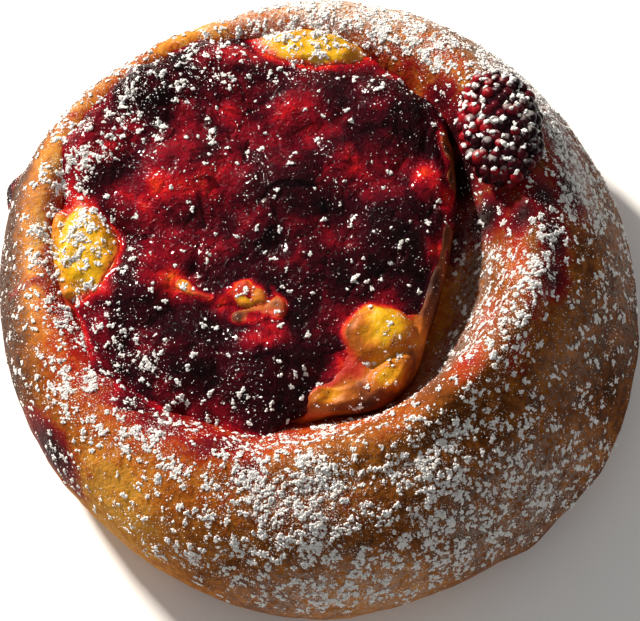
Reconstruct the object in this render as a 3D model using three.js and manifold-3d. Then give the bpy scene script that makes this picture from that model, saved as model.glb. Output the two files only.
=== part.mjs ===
// A fruit brioche: a round baked bun with an off-centre well, vanilla custard in the well, berry compote
// on the custard, and one whole bramble berry baked onto the rim.
// Millimetres, +Z up. The origin is on the table under the middle of the bun, and +Y points to its back.
import * as THREE from "three";
import { ParametricGeometry } from "three/addons/geometries/ParametricGeometry.js";
import { mergeVertices } from "three/addons/utils/BufferGeometryUtils.js";
import Module from "manifold-3d";

const wasm = await Module();
wasm.setup();

const { degToRad, lerp, smoothstep } = THREE.MathUtils;

// Clearance between pieces that lie on each other
const GAP = 0.35;

// Bun, seen from above: a circle with a few low waves
const BUN_RADIUS = 59.9;
const BUN_WAVES = [
  { lobes: 1, size: 0.55, at: degToRad(34) },
  { lobes: 2, size: 0.6, at: degToRad(-30) },
  { lobes: 3, size: 0.5, at: degToRad(47) },
  { lobes: 4, size: 0.5, at: degToRad(-21) },
  { lobes: 6, size: 0.4, at: degToRad(-28) },
];
// Bun, from the side: a flat base, a round foot, its widest line and a rim that is higher at the front right
const BASE_INSET = 8;
const WIDEST_HEIGHT = 11.5;
const RIM_HEIGHT = 29.4;
const RIM_WAVES = [
  { lobes: 1, size: 3.6, at: degToRad(-45) },
  { lobes: 3, size: 0.6, at: degToRad(20) },
];
// The crest lies this share of the way from the well's edge to the bun's widest line
const CREST_SHARE = 0.27;
// Two beads of dough and juice that ran out under the flank and baked on at the foot
const FOOT_BEADS = [
  { at: degToRad(160), halfWidth: degToRad(6), size: 2.2 },
  { at: degToRad(-50), halfWidth: degToRad(8), size: 2.4 },
];
// Share of the way down the foot where a bead stands out most
const BEAD_SHARE = 0.55;

// Well: a bowl pressed into the dough, off centre towards the back left
const WELL_X = -10;
const WELL_Y = 10;
const WELL_RADIUS = 39.2;
const WELL_WAVES = [
  { lobes: 2, size: 1.1, at: degToRad(65) },
  { lobes: 3, size: 0.7, at: degToRad(50) },
];
const WELL_FLOOR_HEIGHT = 14;
// The floor ends, and the slope starts, this share of the way out
const WELL_FLOOR_SHARE = 0.72;
// Rings of the bun's skin: places on the well's floor, then steps down the slope, flank and foot
const FLOOR_RINGS = [0, 0.35, 0.7];
const SLOPE_STEPS = 8;
const FLANK_STEPS = 10;
const FOOT_STEPS = 5;
const BUN_SLICES = 72;

// Custard: a low layer with a raised lip round its edge and humps that come up through the compote
const CUSTARD_LEVEL = 22;
const CUSTARD_LIP = 3;
// The lip stands higher on the right, where it shows round the compote
const CUSTARD_HIGH_LIP = { at: degToRad(-20), halfWidth: degToRad(80), size: 2 };
const CUSTARD_LIP_START = 0.8;
const CUSTARD_LIP_TOP = 0.93;
const CUSTARD_EDGE_DROP = 2.4;
const CUSTARD_SLICES = 60;
const CUSTARD_STEPS = 14;
// A hump falls away between these shares of its half lengths
const HUMP_TOP_SHARE = 0.5;
const HUMP_FOOT_SHARE = 1.6;
// Humps, placed from the well's middle; long and wide are half lengths, and turn is the long side's angle
const CUSTARD_HUMPS = [
  { x: -31.5, y: -4, long: 10, wide: 6.5, turn: degToRad(97), rise: 6.4 },
  { x: 8, y: 36.5, long: 9, wide: 4.5, turn: degToRad(-10), rise: 5.8 },
  { x: 21, y: -21.2, long: 6.6, wide: 6.2, turn: degToRad(0), rise: 9 },
  { x: 21.5, y: -30.4, long: 6, wide: 4.2, turn: degToRad(35), rise: 6.8 },
  { x: 11, y: -35, long: 7, wide: 3, turn: degToRad(15), rise: 5.6 },
  { x: -3.2, y: -16.6, long: 6.8, wide: 4.2, turn: degToRad(-12), rise: 8.2 },
  { x: -14.8, y: -12.6, long: 4.4, wide: 3, turn: degToRad(-20), rise: 8 },
  { x: 30.6, y: 6.6, long: 3.6, wide: 2.8, turn: degToRad(80), rise: 7 },
];

// Compote: a sunken pillow of jelly with the fruit standing out of it as lumps
const COMPOTE_EDGE_HEIGHT = 26.2;
const COMPOTE_CROWN = 1.8;
const COMPOTE_EDGE_START = 0.9;
const COMPOTE_EDGE_DROP = 2.2;
const COMPOTE_OUTLINE_SHARE = 0.985;
// The compote has run up onto the rim along the back left
const COMPOTE_OVERFLOW = { at: degToRad(138), halfWidth: degToRad(62), size: 2.6 };
const COMPOTE_SLICES = 60;
const COMPOTE_STEPS = 14;
// Lumps of fruit, placed from the well's middle
const FRUIT_LUMPS = [
  { x: -23, y: 29, radius: 11.4, rise: 3 },
  { x: -8, y: 32, radius: 10.2, rise: 2.4 },
  { x: 9, y: 24.5, radius: 9.6, rise: 1.8 },
  { x: 23.5, y: 23, radius: 11.4, rise: 3 },
  { x: -32, y: 16, radius: 9.6, rise: 2.6 },
  { x: -15.5, y: 9, radius: 11.4, rise: 2.8 },
  { x: 4, y: 5, radius: 12.6, rise: 2.8 },
  { x: 15, y: 12, radius: 9.6, rise: 1.9 },
  { x: 24.5, y: -1, radius: 11.4, rise: 2.8 },
  { x: 8, y: -9, radius: 8.4, rise: 1.6 },
  { x: -24, y: -13, radius: 10.2, rise: 2.3 },
  { x: -15, y: -26.5, radius: 10.2, rise: 2.4 },
  { x: 1, y: -27.5, radius: 11.4, rise: 3 },
];

// Before they are cut, the custard and the compote reach this far into what carries them
const UNDERCUT = 1;
const UNDERSIDE_SHARE = 0.95;

// Bramble berry: drupelets on an egg-shaped core, lying along the rim and sunk into it
const BERRY_ANGLE = degToRad(24.5);
// A share below 0 is just inside the crest
const BERRY_SHARE = -0.02;
const BERRY_TURN = degToRad(97);
const BERRY_HALF_LENGTH = 11.8;
const BERRY_HALF_WIDTH = 8;
const BERRY_HALF_HEIGHT = 5.6;
const BERRY_SINK = 4.2;
// Small step in angle and share for finding which way the crust faces
const TANGENT_STEP = 0.01;
const DRUPELET_RADIUS = 2.4;
const DRUPELET_COUNT = 46;
// Drupelets below this share of the half height are buried in the crust and left out
const BURIED_SHARE = -0.35;
// The core reaches this share of the way out to the drupelets' tops
const CORE_SHARE = 0.86;
const CORE_SLICES = 16;
const CORE_STACKS = 10;

// Colour and roughness of each piece
const CRUST = { color: 0xc98a3c, roughness: 0.5 };
const CUSTARD = { color: 0xe6a62a, roughness: 0.35 };
const COMPOTE = { color: 0x4a0a10, roughness: 0.15 };
const BERRY = { color: 0x2a0810, roughness: 0.25 };

// Sum of waves round a full turn
function waves(list, angle) {
  return list.reduce((sum, wave) => sum + wave.size * Math.cos(wave.lobes * (angle - wave.at)), 0);
}

// A smooth swelling: 1 at zero distance, 0 from a distance of 1 on
function swell(distance) {
  const inside = Math.max(0, 1 - distance * distance);
  return inside * inside;
}

// Swelling about one direction
function swellAt(angle, { at, halfWidth }) {
  const away = Math.atan2(Math.sin(angle - at), Math.cos(angle - at));
  return swell(away / halfWidth);
}

function wellRadius(angle) {
  return WELL_RADIUS + waves(WELL_WAVES, angle);
}

function rimHeight(angle) {
  return RIM_HEIGHT + waves(RIM_WAVES, angle);
}

// A place round the well, at a share of the way from its middle to its edge
function wellPlace(angle, share) {
  const radius = share * wellRadius(angle);
  return new THREE.Vector3(WELL_X + radius * Math.cos(angle), WELL_Y + radius * Math.sin(angle), 0);
}

// A place on the bun's widest line, brought in towards the middle by an inset
function outlinePlace(angle, inset) {
  const radius = BUN_RADIUS + waves(BUN_WAVES, angle) - inset;
  return new THREE.Vector3(radius * Math.cos(angle), radius * Math.sin(angle), 0);
}

function crestPlace(angle) {
  return wellPlace(angle, 1).lerp(outlinePlace(angle, 0), CREST_SHARE);
}

// Floor of the well: share 0 is its middle, and 1 is where the slope starts
function floorPoint(angle, share) {
  return wellPlace(angle, share * WELL_FLOOR_SHARE).setZ(WELL_FLOOR_HEIGHT);
}

// Inner slope of the well: share 0 is where the floor ends, and 1 is the crest
function slopePoint(angle, share) {
  const start = wellPlace(angle, WELL_FLOOR_SHARE);
  const point = start.lerp(crestPlace(angle), share);
  return point.setZ(lerp(WELL_FLOOR_HEIGHT, rimHeight(angle), smoothstep(share, 0, 1)));
}

// Outer flank, a quarter of an ellipse: share 0 is the crest, and 1 is the widest line
function flankPoint(angle, share) {
  const turn = (share * Math.PI) / 2;
  const point = crestPlace(angle).lerp(outlinePlace(angle, 0), Math.sin(turn));
  return point.setZ(lerp(WIDEST_HEIGHT, rimHeight(angle), Math.cos(turn)));
}

// Round foot, a quarter of an ellipse: share 0 is the widest line, and 1 is the edge of the flat base
function footPoint(angle, share) {
  const turn = (share * Math.PI) / 2;
  const bead = Math.max(...FOOT_BEADS.map((each) => each.size * swellAt(angle, each)));
  const out = bead * swell((share - BEAD_SHARE) / BEAD_SHARE);
  const point = outlinePlace(angle, BASE_INSET * (1 - Math.cos(turn)) - out);
  return point.setZ(share < 1 ? WIDEST_HEIGHT * (1 - Math.sin(turn)) : 0);
}

// Height of the custard's upper side at a share of the way to its edge
function custardHeight(angle, share) {
  const radius = share * wellRadius(angle);
  const high = CUSTARD_HIGH_LIP.size * swellAt(angle, CUSTARD_HIGH_LIP);
  const lip = (CUSTARD_LIP + high) * smoothstep(share, CUSTARD_LIP_START, CUSTARD_LIP_TOP);
  const edge = Math.max(0, (share - CUSTARD_LIP_TOP) / (1 - CUSTARD_LIP_TOP));
  const drop = CUSTARD_EDGE_DROP * (1 - Math.sqrt(1 - Math.min(1, edge * edge)));
  const humps = CUSTARD_HUMPS.map((hump) => {
    const x = radius * Math.cos(angle) - hump.x;
    const y = radius * Math.sin(angle) - hump.y;
    const along = (x * Math.cos(hump.turn) + y * Math.sin(hump.turn)) / hump.long;
    const across = (y * Math.cos(hump.turn) - x * Math.sin(hump.turn)) / hump.wide;
    return hump.rise * (1 - smoothstep(Math.hypot(along, across), HUMP_TOP_SHARE, HUMP_FOOT_SHARE));
  });
  return CUSTARD_LEVEL + Math.max(lip, ...humps) - drop;
}

// Height of the compote's upper side at a share of the way to its edge
function compoteHeight(angle, share) {
  const radius = share * compoteRadius(angle);
  const lumps = FRUIT_LUMPS.map((lump) => {
    const away = Math.hypot(radius * Math.cos(angle) - lump.x, radius * Math.sin(angle) - lump.y);
    return lump.rise * swell(away / lump.radius);
  });
  const edge = Math.max(0, (share - COMPOTE_EDGE_START) / (1 - COMPOTE_EDGE_START));
  const drop = COMPOTE_EDGE_DROP * (1 - Math.sqrt(1 - Math.min(1, edge * edge)));
  return COMPOTE_EDGE_HEIGHT + COMPOTE_CROWN * (1 - share * share) + Math.max(...lumps) - drop;
}

function compoteRadius(angle) {
  const overflow = COMPOTE_OVERFLOW.size * swellAt(angle, COMPOTE_OVERFLOW);
  return COMPOTE_OUTLINE_SHARE * wellRadius(angle) + overflow;
}

// Whole shares from 0 to 1
function shares(count) {
  return Array.from({ length: count + 1 }, (_, step) => step / count);
}

// Joins the vertices of a surface that closes on itself and drops the triangles that its poles flatten
function weld(geometry) {
  geometry.deleteAttribute("normal");
  geometry.deleteAttribute("uv");
  const welded = mergeVertices(geometry);
  const corners = welded.index.array;
  const kept = [];
  for (let i = 0; i < corners.length; i += 3) {
    const [a, b, c] = corners.slice(i, i + 3);
    if (a !== b && b !== c && c !== a) {
      kept.push(a, b, c);
    }
  }
  welded.setIndex(kept);
  return welded;
}

// A closed skin over a stack of rings, each a function from the angle to a point; the ends are poles
function skin(rings, slices) {
  const last = rings.length - 1;
  const point = (u, v, target) => target.copy(rings[Math.round(v * last)](2 * Math.PI * (u % 1)));
  return solidOf(weld(new ParametricGeometry(point, slices, last)));
}

function solidOf(geometry) {
  const vertProperties = geometry.attributes.position.array;
  const triVerts = Uint32Array.from(geometry.index.array);
  return new wasm.Manifold(new wasm.Mesh({ numProp: 3, vertProperties, triVerts }));
}

function geometryOf(solid) {
  const { vertProperties, triVerts } = solid.getMesh();
  const geometry = new THREE.BufferGeometry();
  geometry.setAttribute("position", new THREE.BufferAttribute(vertProperties, 3));
  geometry.setIndex(new THREE.BufferAttribute(triVerts, 1));
  geometry.computeVertexNormals();
  return geometry;
}

// The bun from the middle of the well's floor, over the rim and down to the middle of its base.
// Grown, its upper side is raised by a clearance, to cut what lies on it.
function bun(grown) {
  const raised = (point) => point.setZ(point.z + grown);
  const rings = [
    ...FLOOR_RINGS.map((share) => (angle) => raised(floorPoint(angle, share))),
    ...shares(SLOPE_STEPS).map((share) => (angle) => raised(slopePoint(angle, share))),
    ...shares(FLANK_STEPS).slice(1).map((share) => (angle) => raised(flankPoint(angle, share))),
    ...shares(FOOT_STEPS).slice(1).map((share) => (angle) => footPoint(angle, share)),
    () => new THREE.Vector3(0, 0, 0),
  ];
  return skin(rings.reverse(), BUN_SLICES);
}

// The custard before the bun is cut from its underside. Grown, its upper side is raised and its edge
// moved out by a clearance, to cut what lies on it.
function custardBlank(grown) {
  const rings = shares(CUSTARD_STEPS).map((share) => (angle) => {
    const widened = share < 1 ? share : 1 + grown / WELL_RADIUS;
    return wellPlace(angle, widened).setZ(custardHeight(angle, share) + grown);
  });
  const under = (share) => (angle) => wellPlace(angle, share).setZ(WELL_FLOOR_HEIGHT - UNDERCUT);
  return skin([...rings, under(UNDERSIDE_SHARE), under(0)].reverse(), CUSTARD_SLICES);
}

// The compote before the bun and the custard are cut from its underside
function compoteBlank() {
  const place = (angle, share) => wellPlace(angle, (share * compoteRadius(angle)) / wellRadius(angle));
  const rings = shares(COMPOTE_STEPS).map((share) => (angle) => {
    return place(angle, share).setZ(compoteHeight(angle, share));
  });
  const under = (share) => (angle) => place(angle, share).setZ(CUSTARD_LEVEL - UNDERCUT);
  return skin([...rings, under(UNDERSIDE_SHARE), under(0)].reverse(), COMPOTE_SLICES);
}

// Bramble berry: drupelets on a golden-angle spiral round the core, all joined to it
function berryBlank() {
  const core = new THREE.SphereGeometry(CORE_SHARE, CORE_SLICES, CORE_STACKS);
  core.scale(BERRY_HALF_LENGTH, BERRY_HALF_WIDTH, BERRY_HALF_HEIGHT);
  let berry = solidOf(weld(core));
  const goldenAngle = Math.PI * (3 - Math.sqrt(5));
  for (let i = 0; i < DRUPELET_COUNT; i += 1) {
    const along = 1 - (2 * (i + 0.5)) / DRUPELET_COUNT;
    const around = Math.sqrt(1 - along * along);
    const sideways = around * Math.cos(i * goldenAngle);
    const upward = around * Math.sin(i * goldenAngle);
    if (upward > BURIED_SHARE) {
      const drupelet = new THREE.DodecahedronGeometry(DRUPELET_RADIUS);
      drupelet.translate(
        along * (BERRY_HALF_LENGTH - DRUPELET_RADIUS),
        sideways * (BERRY_HALF_WIDTH - DRUPELET_RADIUS),
        upward * (BERRY_HALF_HEIGHT - DRUPELET_RADIUS),
      );
      berry = berry.add(solidOf(weld(drupelet)));
    }
  }
  return berry;
}

// Turns and moves the berry so that it lies on the rim, square to the crust there
function seatBerry(geometry) {
  const seat = flankPoint(BERRY_ANGLE, BERRY_SHARE);
  const outward = flankPoint(BERRY_ANGLE, BERRY_SHARE + TANGENT_STEP).sub(seat);
  const onward = flankPoint(BERRY_ANGLE + TANGENT_STEP, BERRY_SHARE).sub(seat);
  const up = outward.cross(onward).normalize();
  const ahead = new THREE.Vector3(Math.cos(BERRY_TURN), Math.sin(BERRY_TURN), 0);
  ahead.projectOnPlane(up).normalize();
  const side = up.clone().cross(ahead);
  const placing = new THREE.Matrix4().makeBasis(ahead, side, up);
  placing.setPosition(seat.addScaledVector(up, BERRY_HALF_HEIGHT - BERRY_SINK));
  return geometry.applyMatrix4(placing);
}

function piece(name, solid, finish) {
  const material = new THREE.MeshStandardMaterial({ ...finish, metalness: 0 });
  const mesh = new THREE.Mesh(geometryOf(solid), material);
  mesh.name = name;
  return mesh;
}

const bunGrown = bun(GAP);
const custard = custardBlank(0).subtract(bunGrown);
const compote = compoteBlank().subtract(bunGrown).subtract(custardBlank(GAP));
const berry = solidOf(weld(seatBerry(geometryOf(berryBlank())))).subtract(bunGrown);

const brioche = new THREE.Group();
brioche.add(piece("brioche_bun", bun(0), CRUST));
brioche.add(piece("custard", custard, CUSTARD));
brioche.add(piece("berry_compote", compote, COMPOTE));
brioche.add(piece("bramble_berry", berry, BERRY));

export default brioche;
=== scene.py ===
from functools import partial
import bpy
import numpy as np
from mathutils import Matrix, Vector


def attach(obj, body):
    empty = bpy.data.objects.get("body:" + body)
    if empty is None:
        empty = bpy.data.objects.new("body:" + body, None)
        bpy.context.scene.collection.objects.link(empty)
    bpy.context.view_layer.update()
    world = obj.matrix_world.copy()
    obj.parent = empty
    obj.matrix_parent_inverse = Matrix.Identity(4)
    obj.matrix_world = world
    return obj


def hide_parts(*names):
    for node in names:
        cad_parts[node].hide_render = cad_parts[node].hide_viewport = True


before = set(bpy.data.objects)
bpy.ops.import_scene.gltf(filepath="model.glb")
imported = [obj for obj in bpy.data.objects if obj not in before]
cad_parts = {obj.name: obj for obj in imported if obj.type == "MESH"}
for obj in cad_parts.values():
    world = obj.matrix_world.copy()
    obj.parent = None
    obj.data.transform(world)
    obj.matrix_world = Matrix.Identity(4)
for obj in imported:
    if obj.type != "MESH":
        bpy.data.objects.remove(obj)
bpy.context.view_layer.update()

mm = 0.001  # every size below is in millimetres
fullTurn = 2 * np.pi
tiny = 1e-9  # keeps divisors above nought
print("frame loaded:", ", ".join(sorted(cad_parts)))


# Shape helpers

# Sum of cosine waves round a full turn; each row is lobes, size and direction in degrees
def waveSum(rows, angle):
    return sum(size * np.cos(lobes * (angle - np.radians(at))) for lobes, size, at in rows)


# Swelling: one minus distance squared, squared again; 1 in the middle, 0 from distance 1 on
def swell(distance):
    return np.clip(1 - distance**2, 0, None) ** 2


# Swelling about one direction; the direction and half width are in degrees, the angle in radians
def swellAt(angle, at, halfWidth):
    away = np.angle(np.exp(1j * (angle - np.radians(at))))
    return swell(away / np.radians(halfWidth))


# Sum of swellings; each row is direction, half width and size
def swellSum(rows, angle):
    return sum(size * swellAt(angle, at, halfWidth) for at, halfWidth, size in rows)


# The strongest of several swellings; each row is direction and half width
def swellMost(rows, angle):
    return np.max([swellAt(angle, *row) for row in rows], 0)


# Smooth step, three t squared less two t cubed, from 0 at low to 1 at high
def ease(value, low=0.0, high=1.0):
    t = np.clip((value - low) / (high - low), 0, 1)
    return t * t * (3 - 2 * t)


# A repeatable number from 0 to 1 for each lattice cell: its whole numbers are multiplied by odd factors and mixed
def cellNumber(cell, seed):
    whole = cell.astype(np.int64).astype(np.uint64)
    mixed = whole[..., 0] * np.uint64(73856093) ^ whole[..., 1] * np.uint64(19349663)
    mixed ^= whole[..., 2] * np.uint64(83492791) ^ np.uint64(seed * 2654435761 + 97)
    mixed = (mixed ^ (mixed >> np.uint64(15))) * np.uint64(2246822519)
    mixed = (mixed ^ (mixed >> np.uint64(13))) * np.uint64(3266489917)
    return ((mixed >> np.uint64(16)) & np.uint64(0xFFFFFF)).astype(float) / 0xFFFFFF


# Lattice noise: numbers at the eight corners of a cube of the given size, blended by ease, from -1 to 1
def lumpNoise(points, size, seed):
    place = points / size
    corner = np.floor(place)
    blend = ease(place - corner)
    total = 0
    for step in np.ndindex(2, 2, 2):
        weight = np.prod(np.where(np.array(step) == 1, blend, 1 - blend), axis=-1)
        total = total + weight * cellNumber(corner + np.array(step), seed)
    return 2 * total - 1


# Several lattice noises, each of half the size and half the height of the one before
def layeredNoise(points, size, seed, layers=2):
    return sum(lumpNoise(points, size / 2**k, seed + k) / 2**k for k in range(layers))


# Sum of layered noises; each row is height, size and seed
def noiseSum(rows, points):
    return sum(height * layeredNoise(points, size, seed) for height, size, seed in rows)


# Packed seeds: distance, in cells, to the nearest of one jittered point per square cell, and that point's own number
def nearestSeed(plan, size, seed, margin=0.12):
    x, y = plan.real, plan.imag
    column, row = np.floor(x / size), np.floor(y / size)
    nearest, number = np.full(x.shape, np.inf), np.zeros(x.shape)
    for right, up in np.ndindex(3, 3):
        cell = np.stack([column + right - 1, row + up - 1, np.zeros(x.shape)], -1)
        seedX = (cell[..., 0] + margin + (1 - 2 * margin) * cellNumber(cell, seed)) * size
        seedY = (cell[..., 1] + margin + (1 - 2 * margin) * cellNumber(cell, seed + 1)) * size
        away = np.hypot(x - seedX, y - seedY) / size
        closer = away < nearest
        nearest = np.where(closer, away, nearest)
        number = np.where(closer, cellNumber(cell, seed + 2), number)
    return nearest, number


# Soft spots on the plan: each row is place, half length, half width, turn in degrees and strength; the strongest
# swelling at each place counts
def spotMap(plan, rows):
    total = np.zeros(plan.shape)
    for place, long, wide, turn, strength in rows:
        along = (plan - place) * np.exp(-1j * np.radians(turn))
        total = np.maximum(total, strength * swell(np.hypot(along.real / long, along.imag / wide)))
    return total


# Plan places of points, x + iy
def planOf(points):
    return points[..., 0] + 1j * points[..., 1]


# Points from plan places and heights
def solidPoints(plan, height):
    plan, height = np.broadcast_arrays(plan, height)
    return np.stack([plan.real, plan.imag, height], -1)


# How far noise moves each plan place; the row is the most, the size and two seeds
def planShift(plan, row):
    most, size, *seeds = row
    right, up = (layeredNoise(solidPoints(plan, 0), size, seed) for seed in seeds)
    return most * (right + 1j * up)


# Equal steps from 0 to 1, as a column
def shares(count):
    return np.linspace(0, 1, count + 1)[:, None]


# Equal steps round a full turn, as a row
def turns(count):
    return np.arange(count)[None, :] * fullTurn / count


# Outward normals of a stack of rings: the cross product of the step down the stack and the step round the ring
def ringNormals(rings):
    down = np.gradient(rings, axis=0)
    around = np.roll(rings, -1, 1) - np.roll(rings, 1, 1)
    normal = np.cross(down, around)
    return normal / np.maximum(np.linalg.norm(normal, axis=-1, keepdims=True), tiny)


# Puts corner points and faces of three or four corners into a new object at the origin
def putMesh(name, points, quads, triangles):
    mesh = bpy.data.meshes.new(name)
    corners = np.concatenate([quads.ravel(), triangles.ravel()]).astype(np.int32)
    starts = np.concatenate([4 * np.arange(len(quads)), 4 * len(quads) + 3 * np.arange(len(triangles))])
    mesh.vertices.add(len(points))
    mesh.vertices.foreach_set("co", (points * mm).astype(np.float32).ravel())
    mesh.loops.add(len(corners))
    mesh.loops.foreach_set("vertex_index", corners)
    mesh.polygons.add(len(starts))
    mesh.polygons.foreach_set("loop_start", starts.astype(np.int32))
    mesh.polygons.foreach_set("use_smooth", np.ones(len(starts), dtype=bool))
    mesh.update(calc_edges=True)
    piece = bpy.data.objects.new(name, mesh)
    bpy.context.scene.collection.objects.link(piece)
    return piece


# Faces of a stack of rings between two end points: those of four corners, then the triangles at each end
def stackFaces(count, slices):
    inner = 1 + np.arange(count * slices).reshape(count, slices)
    onward = np.roll(inner, -1, 1)
    quads = np.stack([inner[:-1], inner[1:], onward[1:], onward[:-1]], -1).reshape(-1, 4)
    first = np.stack([np.zeros(slices, int), inner[0], onward[0]], -1)
    last = np.stack([np.full(slices, inner[-1, -1] + 1), onward[-1], inner[-1]], -1)
    return quads, first, last


# Closed skin: rings of equal length joined by four-cornered faces, with the first and last ring drawn to one point
def putSkin(name, rings):
    quads, first, last = stackFaces(len(rings) - 2, rings.shape[1])
    return putMesh(name, skinValues(rings), quads, np.concatenate([first, last]))


# The same order of points for anything given on a stack of rings
def skinValues(values):
    inner = values[1:-1].reshape((-1,) + values.shape[2:])
    return np.concatenate([values[:1, 0], inner, values[-1:, 0]])


def addAttribute(piece, name, values):
    layer = piece.data.attributes.new(name, "FLOAT", "POINT")
    layer.data.foreach_set("value", np.ascontiguousarray(values, dtype=np.float32))


def finishPiece(piece, material, node=None):
    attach(piece, "root")
    piece.data.materials.append(material)
    if node:
        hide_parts(node)
    print("made", piece.name, len(piece.data.vertices), "points")


# Material helpers

# sRGB hex colour to linear light
def linearColor(hexText):
    srgb = np.array([int(hexText[k:k + 2], 16) for k in (1, 3, 5)]) / 255
    linear = np.where(srgb <= 0.04045, srgb / 12.92, ((srgb + 0.055) / 1.055) ** 2.4)
    return (*linear.tolist(), 1.0)


# Settings that many nodes share
multiplyAdd, smoothStep = {"operation": "MULTIPLY_ADD"}, {"interpolation_type": "SMOOTHSTEP"}
colorMix = {"data_type": "RGBA"}


# Adds one node and gives one of its outputs: settings are its properties, stops its colour ramp, and a socket's value
# may be another node's output
def addNode(tree, kind, settings=None, sockets=None, stops=None, output=0):
    node = tree.nodes.new("ShaderNode" + kind)
    for name, value in (settings or {}).items():
        setattr(node, name, value)
    for name, value in (sockets or {}).items():
        if isinstance(value, bpy.types.NodeSocket):
            tree.links.new(value, node.inputs[name])
        else:
            node.inputs[name].default_value = value
    if stops:
        elements = node.color_ramp.elements
        while len(elements) < len(stops):
            elements.new(0.5)
        for element, (at, color) in zip(elements, stops):
            element.position = at
            element.color = linearColor(color)
    return node.outputs[output] if node.outputs else None


# A new material, what adds a node to it, and the place that its patterns read
def newMaterial(name):
    material = bpy.data.materials.new(name)
    material.use_nodes = True
    material.node_tree.nodes.clear()
    add = partial(addNode, material.node_tree)
    return material, add, add("TexCoord", output="Object")


# Noise scale for blotches of a real size in mm
def scaleFor(size):
    return 1 / (size * mm)


# Bun

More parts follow.
